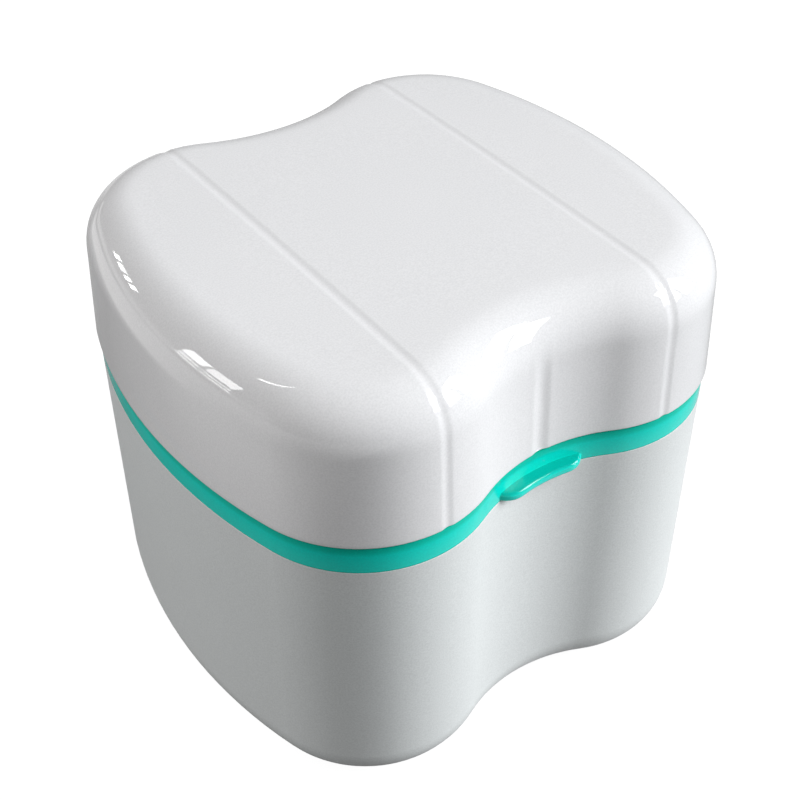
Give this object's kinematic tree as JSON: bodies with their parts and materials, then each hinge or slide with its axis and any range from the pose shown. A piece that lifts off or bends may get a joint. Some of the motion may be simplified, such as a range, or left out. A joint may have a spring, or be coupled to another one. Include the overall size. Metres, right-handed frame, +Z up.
{
  "type": "denture case",
  "caption": "Waisted denture soaking case: a cup, a strainer basket that hangs in it by its rim, and a domed lid hinged to the basket.",
  "frame": {"origin": "centre of the case's outline on the surface it stands on", "axes": "+Z up out of the cup, -Y towards the front with the lift tab, +X to the right seen from the front"},
  "size_m": [0.088, 0.0812, 0.0782],
  "materials": {
    "cup_plastic": "satin moulded",
    "basket_plastic": "semi-gloss moulded",
    "lid_plastic": "gloss moulded"
  },
  "bodies": {
    "cup": {"cup": "cup_plastic"},
    "basket": {"strainer_basket": "basket_plastic"},
    "lid": {"lid": "lid_plastic"}
  },
  "joints": [
    {"name": "basket_lift", "type": "slide", "parent": "cup", "child": "basket", "axis": [0, 0, 1], "range_m": [0, 0.045]},
    {"name": "lid_hinge", "type": "hinge", "parent": "basket", "child": "lid", "pos_m": [0, 0.03834, 0.05075], "axis": [-1, 0, 0], "range_deg": [0, 120]}
  ]
}
